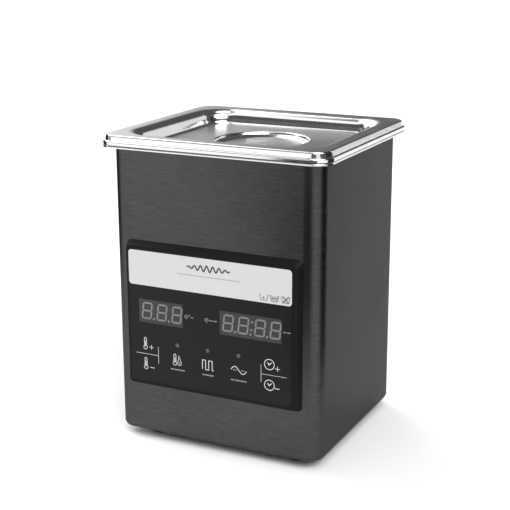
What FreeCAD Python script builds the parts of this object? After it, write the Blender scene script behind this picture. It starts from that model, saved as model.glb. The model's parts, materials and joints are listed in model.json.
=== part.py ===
import FreeCAD, Part
import Sketcher
import math
import os

# Bench-top ultrasonic cleaner: a sheet-metal housing with a pressed tank, two bonded
# transducers, a generator board and a touch panel, with a loose lid and basket.
# Millimetres. Origin on the floor under the middle of the housing, +Z up, panel facing -Y.

V = FreeCAD.Vector
doc = FreeCAD.newDocument("ultrasonic_cleaner")

# ---------------------------------------------------------------- driving dimensions
DIMENSIONS = [
    # housing and base
    ("body_width", 160, "housing outside, along X"),
    ("body_depth", 145, "housing outside, along Y"),
    ("body_corner", 12, "vertical corner radius of the housing"),
    ("metal", 0.8, "thickness of all pressed sheet"),
    ("body_bottom", 9.5, "lower edge of the housing above the floor"),
    ("lip", 8, "inward lip at the foot of the housing"),
    ("base_thickness", 2, "bottom plate"),
    ("base_inset", 1, "bottom plate inside the housing outline"),
    ("foot_radius", 10, "rubber foot"),
    ("foot_x", 56, "foot centre from the middle"),
    ("foot_y", 50.5, "foot centre from the middle"),
    # lid
    ("lid_top", 224.5, "flat rim of the lid above the floor"),
    ("lid_width", 170, "flat rim of the lid, along X"),
    ("lid_depth", 155, "flat rim of the lid, along Y"),
    ("lid_corner", 12, "plan corner radius of the lid"),
    ("skirt_lean", 0.8, "how far the lid's skirt leans out on its way down"),
    ("skirt_drop", 4.2, "rim to the top of the bead round the skirt"),
    ("bead_out", 1.8, "how far the bead stands out from the rim"),
    ("bead_drop", 6.7, "rim to the lower edge of the bead"),
    ("dish_width", 147, "dish mouth, along X"),
    ("dish_depth", 133, "dish mouth, along Y"),
    ("dish_corner", 22, "plan corner radius of the dish"),
    ("dish_drop", 10.5, "dish floor below the rim"),
    ("recess_radius", 35, "round finger recess in the dish"),
    ("recess_step", 1.7, "upright step at the recess edge"),
    ("recess_drop", 3.6, "recess floor below the dish floor"),
    ("recess_back", 6, "recess centre behind the middle"),
    ("lid_gap", 0.05, "lid above the tank flange"),
    # tank
    ("flange_width", 173, "rolled edge of the tank, along X"),
    ("flange_depth", 158, "rolled edge of the tank, along Y"),
    ("flange_step", 6.7, "top of the tank's flange to the ledge it turns out at"),
    ("flange_ledge", 4.3, "width of that ledge"),
    ("flange_drop", 7.9, "top of the tank's flange to its lower edge"),
    ("flange_corner", 12.5, "plan corner radius of the rolled edge"),
    ("tank_width", 150, "tank inside, along X"),
    ("tank_depth", 135, "tank inside, along Y"),
    ("tank_corner", 20, "plan corner radius inside the tank"),
    ("tank_drop", 100, "tank floor below its flange"),
    ("gasket", 1.2, "rubber strip under the flange"),
    # control panel
    ("panel_width", 136, "bezel outline, along X"),
    ("panel_height", 107.5, "bezel outline, along Z"),
    ("panel_bottom", 43.5, "lower edge of the bezel above the floor"),
    ("panel_corner", 4, "bezel corner radius"),
    ("panel_raise", 4.5, "bezel face in front of the housing"),
    ("bevel_side", 1.9, "slope at the sides and bottom of the bezel"),
    ("bevel_top", 3.4, "slope at the top of the bezel"),
    ("overlay_left", -64.1, "left edge of the overlay"),
    ("overlay_right", 62.2, "right edge of the overlay"),
    ("overlay_bottom", 48, "lower edge of the overlay"),
    ("overlay_top", 146.1, "upper edge of the overlay"),
    ("overlay_thickness", 0.3, "printed overlay"),
    ("label_bottom", 119.8, "lower edge of the light label field"),
    ("label_top", 144.9, "upper edge of the light label field"),
    ("label_thickness", 0.15, "light label field"),
    ("display_z", 100.9, "centre of both displays"),
    ("display_height", 17.6, "both displays"),
    ("temp_x", -39.15, "centre of the temperature display"),
    ("temp_width", 35.7, "temperature display"),
    ("timer_x", 31.1, "centre of the timer display"),
    ("timer_width", 47.2, "timer display"),
    ("led_z", 78.7, "row of indicator lights"),
    ("led_radius", 1.6, "indicator light"),
    ("board_setback", 3.3, "front of the display board behind the housing face"),
    ("board", 1.6, "thickness of the circuit boards"),
    # transducers
    ("transducer_x", 34, "transducer axis from the middle"),
    ("horn_radius", 22.5, "bonded face of the horn"),
    ("stack_radius", 19, "piezo rings and back mass"),
    ("horn_height", 22, "aluminium horn"),
    ("ring_height", 5, "one piezo ring"),
    ("electrode", 0.4, "copper electrode"),
    ("mass_height", 20, "steel back mass"),
    # generator board
    ("power_x", -31, "middle of the generator board"),
    ("power_y", -10, "middle of the generator board"),
    ("power_width", 78, "generator board, along X"),
    ("power_depth", 93, "generator board, along Y"),
    ("standoff", 8, "spacer under the generator board"),
    # rear fittings
    ("inlet_x", -42, "middle of the mains inlet"),
    ("switch_x", -4, "middle of the rocker switch"),
    ("rear_z", 46, "middle of the inlet and the switch"),
    ("rocker_gap", 0.35, "rocker to switch frame"),
    ("drawer_gap", 0.3, "fuse drawer to inlet body"),
    # fan
    ("fan_x", 36, "fan axis"),
    ("fan_y", 8, "fan axis"),
    ("fan_size", 50, "fan frame"),
    ("fan_height", 15, "fan frame"),
    ("fan_bore", 23.5, "radius of the fan opening"),
    ("shaft_gap", 0.05, "fan shaft running clearance"),
    # basket
    ("basket_width", 134, "basket outside, along X"),
    ("basket_depth", 120, "basket outside, along Y"),
    ("basket_height", 62, "basket wall"),
    ("basket_stand", 6, "basket floor above the tank floor"),
    ("wire", 1.5, "radius of the basket rim wire"),
]


class Size:
    """A length together with the spreadsheet expression that gives it."""

    def __init__(self, value, text):
        self.value = value
        self.text = text

    def __add__(self, other):
        other = size(other)
        return Size(self.value + other.value, f"({self.text} + {other.text})")

    def __radd__(self, other):
        return size(other) + self

    def __sub__(self, other):
        other = size(other)
        return Size(self.value - other.value, f"({self.text} - {other.text})")

    def __rsub__(self, other):
        return size(other) - self

    def __mul__(self, other):
        other = size(other)
        return Size(self.value * other.value, f"({self.text} * {other.text})")

    def __rmul__(self, other):
        return size(other) * self

    def __truediv__(self, other):
        other = size(other)
        return Size(self.value / other.value, f"({self.text} / {other.text})")

    def __neg__(self):
        return Size(-self.value, f"(0 - {self.text})")


def size(number):
    """Any number as a Size."""
    return number if isinstance(number, Size) else Size(float(number), f"({float(number)})")


class Dimensions:
    """The spreadsheet, read by alias: d.body_width is a Size."""

    def __init__(self, rows):
        self.sheet = doc.addObject("Spreadsheet::Sheet", "dims")
        for row, (alias, number, meaning) in enumerate(rows, start=1):
            self.sheet.set(f"A{row}", alias)
            self.sheet.set(f"B{row}", str(number))
            self.sheet.set(f"C{row}", meaning)
            self.sheet.setAlias(f"B{row}", alias)
        doc.recompute()

    def __getattr__(self, alias):
        return Size(float(self.sheet.get(alias)), f"dims.{alias}")


d = Dimensions(DIMENSIONS)
nodes = []

# ---------------------------------------------------------------- levels and outlines used often
flange_top = d.lid_top - d.metal - d.lid_gap
flange_under = flange_top - d.metal
body_top = flange_under - d.gasket
tank_floor = flange_top - d.tank_drop
tank_under = tank_floor - d.metal
base_top = d.body_bottom
base_under = d.body_bottom - d.base_thickness
front = -(d.body_depth / 2)
rear = d.body_depth / 2
panel_face = front - d.panel_raise
panel_plate = 1.5
overlay_face = panel_face - d.overlay_thickness
board_front = front + d.board_setback
power_top = base_top + d.standoff + d.board


# ---------------------------------------------------------------- building blocks
def bind(item, name, amount):
    item.setExpression(name, size(amount).text)


def move_to(item, x, y, z):
    for axis, amount in zip("xyz", (x, y, z)):
        bind(item, f"Placement.Base.{axis}", amount)


def node(label, item):
    """Names a finished sub-part."""
    item.Label = label
    nodes.append(item)
    return item


def box(centre, extent):
    """A block centred on x, y and z."""
    item = doc.addObject("Part::Box", "block")
    for name, amount in zip(("Length", "Width", "Height"), extent):
        bind(item, name, amount)
    move_to(item, *[size(c) - size(e) / 2 for c, e in zip(centre, extent)])
    return item


def span(low, high):
    """A block between two corners."""
    centre = [(size(a) + size(b)) / 2 for a, b in zip(low, high)]
    extent = [size(b) - size(a) for a, b in zip(low, high)]
    return box(centre, extent)


TURN = {
    "z": FreeCAD.Rotation(),
    "x": FreeCAD.Rotation(V(0, 1, 0), 90),
    "y": FreeCAD.Rotation(V(1, 0, 0), -90),
    "-z": FreeCAD.Rotation(V(1, 0, 0), 180),
    "-y": FreeCAD.Rotation(V(1, 0, 0), 90),
}


def rod(start, radius, length, axis="z"):
    """A cylinder from its start point along an axis."""
    item = doc.addObject("Part::Cylinder", "rod")
    item.Placement = FreeCAD.Placement(V(), TURN[axis])
    bind(item, "Radius", radius)
    bind(item, "Height", length)
    move_to(item, *start)
    return item


def cone(start, radius, end_radius, length, axis="z"):
    item = doc.addObject("Part::Cone", "cone")
    item.Placement = FreeCAD.Placement(V(), TURN[axis])
    bind(item, "Radius1", radius)
    bind(item, "Radius2", end_radius)
    bind(item, "Height", length)
    move_to(item, *start)
    return item


def hexagon(start, across_corners, length, axis="z"):
    item = doc.addObject("Part::Prism", "hexagon")
    item.Placement = FreeCAD.Placement(V(), TURN[axis])
    item.Polygon = 6
    bind(item, "Circumradius", across_corners / 2)
    bind(item, "Height", length)
    move_to(item, *start)
    return item


def join(items):
    if len(items) == 1:
        return items[0]
    item = doc.addObject("Part::MultiFuse", "join")
    item.Shapes = items
    return item


def cut(base, tools):
    item = doc.addObject("Part::Cut", "cut")
    item.Base = base
    item.Tool = join(tools)
    return item


def feature(shape):
    """A shape that no primitive or sketched feature gives, such as swept sheet metal."""
    item = doc.addObject("Part::Feature", "formed")
    item.Shape = shape
    return item


def tube(start, outer, inner, length, axis="z"):
    return cut(rod(start, outer, length, axis), [rod(start, inner, length, axis)])


def screw(start, shank, length, head, head_height, axis="z"):
    """A screw whose shank runs from start along the axis, with its head behind start."""
    back = {"z": (0, 0, -1), "-z": (0, 0, 1), "y": (0, -1, 0), "-y": (0, 1, 0)}[axis]
    head_start = [size(p) + b * size(head_height) for p, b in zip(start, back)]
    return join([rod(start, shank, length, axis), rod(head_start, head, head_height, axis)])


# ---------------------------------------------------------------- sketched bodies
def origin_plane(body, role):
    return [f for f in body.Origin.OriginFeatures if f.Role == role][0]


def new_sketch(body, role, offset=0):
    """A sketch on one of the body's origin planes, moved along the plane's normal."""
    sketch = body.newObject("Sketcher::SketchObject", "outline")
    sketch.AttachmentSupport = (origin_plane(body, role), "")
    sketch.MapMode = "FlatFace"
    bind(sketch, "AttachmentOffset.Base.z", offset)
    return sketch


def dimension(sketch, kind, *where, amount):
    amount = size(amount)
    index = sketch.addConstraint(Sketcher.Constraint(kind, *where, amount.value))
    sketch.setExpression(f"Constraints[{index}]", amount.text)


def rounded_rectangle(sketch, half_x, half_y, radius, middle_y=0):
    """Four lines and four tangent arcs about x = 0, with every size bound."""
    half_x, half_y, radius, middle_y = [size(a) for a in (half_x, half_y, radius, middle_y)]
    x, y, r, m = half_x.value, half_y.value, radius.value, middle_y.value
    first = sketch.GeometryCount
    corners = [(x - r, m + y - r), (-x + r, m + y - r), (-x + r, m - y + r), (x - r, m - y + r)]
    starts = [V(x, m - y + r), V(x - r, m + y), V(-x, m + y - r), V(-x + r, m - y)]
    ends = [V(x, m + y - r), V(-x + r, m + y), V(-x, m - y + r), V(x - r, m - y)]
    for quarter in range(4):
        sketch.addGeometry(Part.LineSegment(starts[quarter], ends[quarter]))
        centre = V(*corners[quarter])
        circle = Part.Circle(centre, V(0, 0, 1), r)
        turn = quarter * math.pi / 2
        sketch.addGeometry(Part.ArcOfCircle(circle, turn, turn + math.pi / 2))
    for side in range(8):
        following = first + (side + 1) % 8
        sketch.addConstraint(Sketcher.Constraint("Tangent", first + side, 2, following, 1))
    for side, direction in ((0, "Vertical"), (2, "Horizontal"), (4, "Vertical"), (6, "Horizontal")):
        sketch.addConstraint(Sketcher.Constraint(direction, first + side))
    for arc in (3, 5, 7):
        sketch.addConstraint(Sketcher.Constraint("Equal", first + 1, first + arc))
    dimension(sketch, "Radius", first + 1, amount=radius)
    dimension(sketch, "DistanceX", -1, 1, first, 1, amount=half_x)
    dimension(sketch, "DistanceX", first + 4, 1, -1, 1, amount=half_x)
    dimension(sketch, "DistanceY", -1, 1, first + 2, 1, amount=middle_y + half_y)
    dimension(sketch, "DistanceY", -1, 1, first + 6, 1, amount=middle_y - half_y)


def polygon(sketch, points):
    """A closed outline with both coordinates of every corner bound."""
    points = [(size(a), size(b)) for a, b in points]
    corners = [V(a.value, b.value) for a, b in points]
    for index, corner in enumerate(corners):
        sketch.addGeometry(Part.LineSegment(corner, corners[(index + 1) % len(corners)]))
    for index, (a, b) in enumerate(points):
        following = (index + 1) % len(points)
        sketch.addConstraint(Sketcher.Constraint("Coincident", index, 2, following, 1))
    for index, (a, b) in enumerate(points):
        dimension(sketch, "DistanceX", -1, 1, index, 1, amount=a)
        dimension(sketch, "DistanceY", -1, 1, index, 1, amount=b)


def new_body():
    return doc.addObject("PartDesign::Body", "body")


def pad(body, sketch, length, backwards=False):
    item = body.newObject("PartDesign::Pad", "pad")
    item.Profile = sketch
    item.Reversed = backwards
    bind(item, "Length", length)
    return item


def plate(half_x, half_y, radius, bottom, thickness, opening=None):
    """A flat plate with rounded corners, and a rounded opening if one is given."""
    body = new_body()
    sketch = new_sketch(body, "XY_Plane", bottom)
    rounded_rectangle(sketch, half_x, half_y, radius)
    if opening:
        rounded_rectangle(sketch, *opening)
    pad(body, sketch, thickness)
    return body


def turned(points, x, y):
    """A body of revolution about Z from an outline of (radius, height) corners."""
    body = new_body()
    sketch = new_sketch(body, "XZ_Plane")
    polygon(sketch, points)
    spin = body.newObject("PartDesign::Revolution", "spin")
    spin.Profile = sketch
    spin.ReferenceAxis = (sketch, ["V_Axis"])
    spin.Angle = 360
    move_to(body, x, y, 0)
    return body


# ---------------------------------------------------------------- pressed sheet metal
def sheet_section(points, radii, thickness):
    """Closed face of a bent strip: a centre line with rounded bends, half the sheet to each side.

    points are (u, z) pairs and radii the centre-line radius of each inner bend.
    """
    path = [V(u, 0, z) for u, z in points]
    sides = []
    for side in (1, -1):
        edges = []
        offset = side * thickness / 2
        last = None
        for index in range(len(path) - 1):
            along = (path[index + 1] - path[index]).normalize()
            normal = V(-along.z, 0, along.x) * offset
            start = path[index]
            end = path[index + 1]
            if last is not None:
                start = start + along * last
            if index < len(path) - 2:
                onward = (path[index + 2] - path[index + 1]).normalize()
                turn = along.getAngle(onward)
                reach = radii[index] * math.tan(turn / 2)
                end = end - along * reach
            edges.append(Part.makeLine(start + normal, end + normal))
            if index < len(path) - 2:
                left = along.z * onward.x - along.x * onward.z < 0
                inward = V(-along.z, 0, along.x) * (1 if left else -1)
                centre = end + inward * radii[index]
                bend_end = path[index + 1] + onward * reach
                normal_on = V(-onward.z, 0, onward.x) * offset
                reach_out = end + normal - centre
                middle = (reach_out + bend_end + normal_on - centre).normalize() * reach_out.Length
                arc = Part.Arc(end + normal, centre + middle, bend_end + normal_on)
                edges.append(arc.toShape())
                last = reach
        sides.append(edges)
    first, second = sides
    caps = [
        Part.makeLine(first[0].firstVertex().Point, second[0].firstVertex().Point),
        Part.makeLine(first[-1].lastVertex().Point, second[-1].lastVertex().Point),
    ]
    return Part.Face(Part.Wire(Part.__sortEdges__(first + second + caps)))


def rim(section, half_x, half_y, corner):
    """Carries a section round a rounded rectangle: straight runs and quarter turns.

    u = 0 of the section lies on the rectangle, and u is positive outwards.
    """
    parts = []
    run_x = half_x - corner
    run_y = half_y - corner
    for quarter in range(4):
        half, run_along, run_across = (half_x, run_y, run_x) if quarter % 2 == 0 else (half_y, run_x, run_y)
        side = section.copy()
        side.translate(V(half, -run_along, 0))
        straight = side.extrude(V(0, 2 * run_along, 0))
        side = section.copy()
        side.translate(V(half, run_along, 0))
        bend = side.revolve(V(run_across, run_along, 0), V(0, 0, 1), 90)
        for piece in (straight, bend):
            piece.rotate(V(), V(0, 0, 1), 90 * quarter)
            parts.append(piece)
    return parts


def flat(half_x, half_y, corner, top, thickness, holes=()):
    """A flat sheet with rounded corners, its upper face at top, less the given solids."""
    sheet = Part.makeBox(2 * half_x, 2 * half_y, thickness, V(-half_x, -half_y, top - thickness))
    uprights = [e for e in sheet.Edges if abs(e.Vertexes[0].X - e.Vertexes[1].X) < 1e-6
                and abs(e.Vertexes[0].Y - e.Vertexes[1].Y) < 1e-6]
    sheet = sheet.makeFillet(corner, uprights)
    for hole in holes:
        sheet = sheet.cut(hole)
    return sheet


def fused(parts):
    return parts[0].multiFuse(parts[1:]).removeSplitter()


# ---------------------------------------------------------------- leads
def lead(points, radius):
    """A round lead along straight runs joined by tangent arcs as large as the runs allow."""
    points = [V(*p) for p in points]
    edges = []
    start = points[0]
    for index in range(1, len(points) - 1):
        before = (points[index] - points[index - 1])
        after = (points[index + 1] - points[index])
        turn = before.getAngle(after)
        reach = 0.45 * min(before.Length, after.Length)
        into = points[index] - before.normalize() * reach
        out = points[index] + after.normalize() * reach
        arc_radius = reach / math.tan(turn / 2)
        toward = (after - before).normalize()
        centre = points[index] + toward * (arc_radius / math.cos(turn / 2))
        edges.append(Part.makeLine(start, into))
        edges.append(Part.Arc(into, centre - toward * arc_radius, out).toShape())
        start = out
    edges.append(Part.makeLine(start, points[-1]))
    path = Part.Wire(edges)
    circle = Part.Wire(Part.makeCircle(radius, points[0], points[1] - points[0]))
    return path.makePipeShell([circle], True, False)


# ---------------------------------------------------------------- housing, base and feet
def make_housing():
    half_x = d.body_width / 2
    half_y = d.body_depth / 2
    inner = (half_x - d.metal, half_y - d.metal, d.body_corner - d.metal)
    foot_lip = (half_x - d.lip - d.metal, half_y - d.lip - d.metal, 4)
    top_lip = (half_x - 3, half_y - 3, d.body_corner + 3)
    outline = (half_x, half_y, d.body_corner)
    wall = plate(*outline, base_top, body_top - base_top, inner)
    foot = plate(*outline, base_top, d.metal, foot_lip)
    top = plate(*outline, body_top - d.metal, d.metal, top_lip)
    window = span(
        (d.panel_width / -2 + 7, front - 5, d.panel_bottom + 8),
        (d.panel_width / 2 - 7, front + 5, d.panel_bottom + d.panel_height - 8),
    )
    tools = [window]
    tools += [rod((x, front - 5, z), 1.35, 10, "y") for x, z in PANEL_SCREWS]
    tools += [box((d.inlet_x, rear, d.rear_z), (28.6, 10, 32.4))]
    tools += [rod((d.inlet_x + side * 20, rear - 5, d.rear_z), 1.55, 10, "y") for side in (1, -1)]
    tools += [box((d.switch_x, rear, d.rear_z), (16.6, 10, 25.2))]
    for row in range(5):
        tools.append(box((41, rear, d.rear_z - 14 + 7 * row), (38, 10, 3)))
    tools += [rod((x, y, base_top - 2), 1.55, 6) for x, y in BASE_SCREWS]
    return node("housing", cut(join([wall, foot, top]), tools))


PANEL_SCREWS = [(x, z) for x in (-64.6, 64.6) for z in (54, 141)]
BASE_SCREWS = [(x, y) for x in (-40, 40) for y in (-67.3, 67.3)] + [(-74.8, 0), (74.8, 0)]
FEET = {"front_left": (-1, -1), "front_right": (1, -1), "rear_left": (-1, 1), "rear_right": (1, 1)}
FAN_HOLES = [(x, y) for x in (-20, 20) for y in (-20, 20)]
STANDOFFS = [(x, y) for x in (-34, 34) for y in (-41.5, 41.5)]


def make_base():
    inset = d.base_inset
    outline = (d.body_width / 2 - inset, d.body_depth / 2 - inset, d.body_corner - inset)
    sheet = plate(*outline, base_under, d.base_thickness)
    tools = [rod((x, y, base_under - 1), 1.65, 4) for x, y in BASE_SCREWS]
    tools += [rod((d.foot_x * sx, d.foot_y * sy, base_under - 1), 2.05, 4) for sx, sy in FEET.values()]
    tools += [rod((d.fan_x + x, d.fan_y + y, base_under - 1), 1.85, 4) for x, y in FAN_HOLES]
    tools += [rod((d.power_x + x, d.power_y + y, base_under - 1), 1.5, 4) for x, y in STANDOFFS]
    for slot in range(6):
        across = 3 * slot - 7.5
        length = 2 * math.sqrt(21 ** 2 - (across * 2) ** 2)
        tools.append(box((d.fan_x + 2 * across, d.fan_y, base_under), (3, length, 6)))
    return node("base_plate", cut(sheet, tools))


def make_feet():
    screws = []
    for corner, (side_x, side_y) in FEET.items():
        x = d.foot_x * side_x
        y = d.foot_y * side_y
        r = d.foot_radius
        outline = [
            (2.1, 4.5),
            (4.6, 4.5),
            (4.6, 0),
            (r - 1.6, 0),
            (r - 1, 0.6),
            (r, base_under),
            (2.1, base_under),
        ]
        node(f"foot_{corner}", turned(outline, x, y))
        screws.append(screw((x, y, 4.5), 2, 10, 3.8, 2.3))
        nut = hexagon((x, y, base_top), 7.6, 3.2)
        screws.append(cut(nut, [rod((x, y, base_top), 2, 4)]))
    node("foot_screws", join(screws))
    under = [screw((x, y, base_under), 1.5, 6, 2.8, 1.8) for x, y in BASE_SCREWS]
    under += [screw((d.fan_x + x, d.fan_y + y, base_under), 1.8, 12, 3, 1.8) for x, y in FAN_HOLES]
    node("base_screws", join(under))


# ---------------------------------------------------------------- tank, lid and basket
def make_tank():
    t = d.metal.value
    top = flange_top.value
    half_x, half_y = d.flange_width.value / 2, d.flange_depth.value / 2
    open_x, open_y = d.tank_width.value / 2, d.tank_depth.value / 2
    corner, deep = d.tank_corner.value, d.tank_drop.value
    step = top - d.flange_step.value
    inner = -d.flange_ledge.value
    flare = [
        (-8, top - t / 2),
        (inner, top - t / 2),
        (inner, step),
        (-0.5, step),
        (-t / 2, top - d.flange_drop.value),
    ]
    wall = [(3, top - t / 2), (t / 2, top - t / 2), (t / 2, top - deep - t / 2), (-14, top - deep - t / 2)]
    parts = rim(sheet_section(flare, [1, 1, 0.6], t), half_x, half_y, d.flange_corner.value)
    parts += rim(sheet_section(wall, [2.5, 8.4], t), open_x, open_y, corner)
    mouth = flat(open_x + 3, open_y + 3, corner + 3, top + 1, t + 2)
    parts.append(flat(half_x - 8, half_y - 8, d.flange_corner.value - 8, top, t, [mouth]))
    parts.append(flat(open_x - 14, open_y - 14, corner - 14, top - deep, t))
    node("tank", feature(fused(parts)))
    ring = (d.body_width / 2 - 0.4, d.body_depth / 2 - 0.4, d.body_corner - 0.4)
    inside = (d.tank_width / 2 + 3.2, d.tank_depth / 2 + 3.2, d.tank_corner + 3)
    node("rim_gasket", plate(*ring, body_top, d.gasket, inside))


def make_lid():
    t = d.metal.value
    top = d.lid_top.value
    half_x, half_y, corner = d.lid_width.value / 2, d.lid_depth.value / 2, d.lid_corner.value
    dish_x, dish_y, dish_corner = d.dish_width.value / 2, d.dish_depth.value / 2, d.dish_corner.value
    floor = top - d.dish_drop.value
    recess = d.recess_radius.value
    low = floor - d.recess_drop.value
    lean = d.skirt_lean.value
    shoulder = top - d.skirt_drop.value
    bead = d.bead_out.value - t / 2
    skirt = [
        (-4, top - t / 2),
        (-t, top - t / 2),
        (lean - t, shoulder),
        (bead, shoulder - t / 2),
        (bead, top - d.bead_drop.value),
    ]
    wall = [(4, top - t / 2), (-3.5, top - t / 2), (-6.5, floor - t / 2), (-13, floor - t / 2)]
    cup = [
        (recess + 3, floor - t / 2),
        (recess - 0.6, floor - t / 2),
        (recess - 1.4, floor - d.recess_step.value - t / 2),
        (recess - 6, low - t / 2),
        (0, low - t / 2),
    ]
    parts = rim(sheet_section(skirt, [0.9, 0.45, 0.6], t), half_x, half_y, corner)
    parts += rim(sheet_section(wall, [8.5, 3], t), dish_x, dish_y, dish_corner)
    mouth = flat(dish_x + 4, dish_y + 4, dish_corner + 4, top + 1, t + 2)
    parts.append(flat(half_x - 4, half_y - 4, corner - 4, top, t, [mouth]))
    back = V(0, d.recess_back.value, 0)
    hole = Part.makeCylinder(recess + 3, 4, V(0, back.y, floor - 2))
    parts.append(flat(dish_x - 13, dish_y - 13, dish_corner - 13, floor, t, [hole]))
    spun = sheet_section(cup, [0.8, 0.7, 2], t).revolve(V(), V(0, 0, 1), 360)
    spun.translate(back)
    parts.append(spun)
    node("lid", feature(fused(parts)))


def make_basket():
    t = 1.0
    half_x, half_y = d.basket_width.value / 2, d.basket_depth.value / 2
    low = tank_floor.value + d.basket_stand.value
    top = low + d.basket_height.value
    wire = d.wire.value
    wall = [(-t / 2, top), (-t / 2, low + t / 2), (-12, low + t / 2)]
    parts = rim(sheet_section(wall, [5], t), half_x, half_y, 14)
    parts.append(flat(half_x - 12, half_y - 12, 2, low + t, t))
    node("basket_mesh", feature(fused(parts)))
    ring = Part.Face(Part.Wire(Part.makeCircle(wire, V(0, 0, top + wire), V(0, 1, 0))))
    node("basket_rim", feature(fused(rim(ring, half_x - 1, half_y - 1, 13))))
    handles = []
    for side in (-1, 1):
        x = side * (half_x - 1)
        rise = top + 2 * wire
        grip = rise + 11
        handles.append(lead([(x, -26, rise), (x, -26, grip), (x, 26, grip), (x, 26, rise)], wire))
    node("basket_handles", feature(Part.makeCompound(handles)))
    stands = []
    for x in (-1, 1):
        for y in (-1, 1):
            foot = cone((x * 44, y * 38, tank_floor + 0.05), 2, 3, d.basket_stand - 0.05)
            stands.append(foot)
    node("basket_feet", join(stands))


# ---------------------------------------------------------------- transducers and heater
def make_transducers():
    rings = []
    electrodes = []
    bolts = []
    for side, sign in (("left", -1), ("right", 1)):
        x = d.transducer_x * sign
        r = d.stack_radius
        low = tank_under - d.horn_height
        outline = [
            (0, low),
            (r, low),
            (r, low + 8),
            (d.horn_radius, tank_under - 4),
            (d.horn_radius, tank_under),
            (0, tank_under),
        ]
        horn = cut(turned(outline, x, 0), [rod((x, 0, low - 1), 5, 13)])
        node(f"transducer_horn_{side}", horn)
        level = low
        for _ in range(2):
            electrodes.append(tube((x, 0, level - d.electrode), r, 6.5, d.electrode))
            tab = box((x + r + 2, 0, level - d.electrode / 2), (6, 5, d.electrode))
            electrodes.append(tab)
            level = level - d.electrode
            rings.append(tube((x, 0, level - d.ring_height), r - 0.2, 7.5, d.ring_height))
            level = level - d.ring_height
        bottom = level - d.mass_height
        block = turned([(0, bottom), (r - 1, bottom), (r, bottom + 1), (r, level), (0, level)], x, 0)
        node(f"back_mass_{side}", cut(block, [rod((x, 0, bottom - 1), 5, 22)]))
        bolts.append(join([rod((x, 0, bottom), 5, low + 11 - bottom), hexagon((x, 0, bottom - 6), 18, 6)]))
    node("piezo_rings", join(rings))
    node("electrodes", join(electrodes))
    node("transducer_bolts", join(bolts))


def make_tank_sensors():
    back = d.tank_depth / 2 + d.metal
    node("heater_pad", box((0, back + 0.8, 165), (112, 1.6, 62)))
    top = tank_under
    cap = tube((0, 44, top - 2.2), 12, 8, 1)
    can = rod((0, 44, top - 10), 8, 10)
    blades = [box((x, 44, top - 13), (0.8, 6, 6)) for x in (-4, 4)]
    node("thermal_cutout", join([cap, can] + blades))
    probe = join([cone((0, -44, top - 7), 3, 5, 7), box((0, -44, top - 0.6), (20, 8, 1.2))])
    node("temperature_probe", probe)


# ---------------------------------------------------------------- control panel
def make_panel():
    half_x = d.panel_width / 2
    half_z = d.panel_height / 2
    middle = d.panel_bottom + half_z
    side, top = d.bevel_side, d.bevel_top
    body = new_body()
    foot = new_sketch(body, "XZ_Plane", -front)
    rounded_rectangle(foot, half_x, half_z, d.panel_corner, middle)
    face = new_sketch(body, "XZ_Plane", -panel_face)
    face_z = half_z - (side + top) / 2
    rounded_rectangle(face, half_x - side, face_z, d.panel_corner - 1, middle + (side - top) / 2)
    loft = body.newObject("PartDesign::AdditiveLoft", "slope")
    loft.Profile = foot
    loft.Sections = [face]
    loft.Ruled = True
    posts = [rod((x, front - 3, z), 3, board_front - front + 3, "y") for x, z in DISPLAY_POSTS]
    back = panel_face + panel_plate
    ceiling = d.panel_bottom + d.panel_height - 9
    hollow = span((8 - half_x, back, d.panel_bottom + 9), (half_x - 8, front + 1, ceiling))
    shell = cut(body, [hollow])
    tools = window_tools(panel_face - 1, 4)
    tools += [rod((x, front - 3.2, z), 1.25, 8, "y") for x, z in PANEL_SCREWS]
    tools += [rod((x, front - 2, z), 1.25, 12, "y") for x, z in DISPLAY_POSTS]
    node("panel_bezel", cut(join([shell] + posts), tools))

    sheet = span(
        (d.overlay_left, overlay_face, d.overlay_bottom),
        (d.overlay_right, panel_face, d.overlay_top),
    )
    node("panel_overlay", cut(rounded_block(sheet, 2.5), window_tools(overlay_face - 1, 3)))
    field = span(
        (d.overlay_left, overlay_face - d.label_thickness, d.label_bottom),
        (d.overlay_right, overlay_face, d.label_top),
    )
    node("panel_label", rounded_block(field, 2.4))


def rounded_block(block, radius):
    """Rounds the four corner edges of a thin upright block."""
    doc.recompute()
    item = doc.addObject("Part::Fillet", "rounded")
    item.Base = block
    found = []
    for index, edge in enumerate(block.Shape.Edges, start=1):
        a, b = [vertex.Point for vertex in edge.Vertexes]
        if abs(a.y - b.y) > 1e-6:
            found.append((index, radius, radius))
    item.Edges = found
    return item


def window_tools(start, depth):
    """Cutters for the two displays and the three lights."""
    y = size(start) + depth / 2
    tools = [
        box((d.temp_x, y, d.display_z), (d.temp_width, depth, d.display_height)),
        box((d.timer_x, y, d.display_z), (d.timer_width, depth, d.display_height)),
    ]
    tools += [rod((x, start, d.led_z), d.led_radius + 0.1, depth, "y") for x in LIGHTS]
    return tools


LIGHTS = [-26.2, -2, 22]
DISPLAY_POSTS = [(-50, 116), (50, 116), (-38, 57), (38, 57)]
TOUCH_KEYS = [(-49.5, 75), (-49.5, 61), (-26, 67.5), (-2, 67.5), (22.5, 67.5), (48, 75), (48, 61)]


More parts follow.
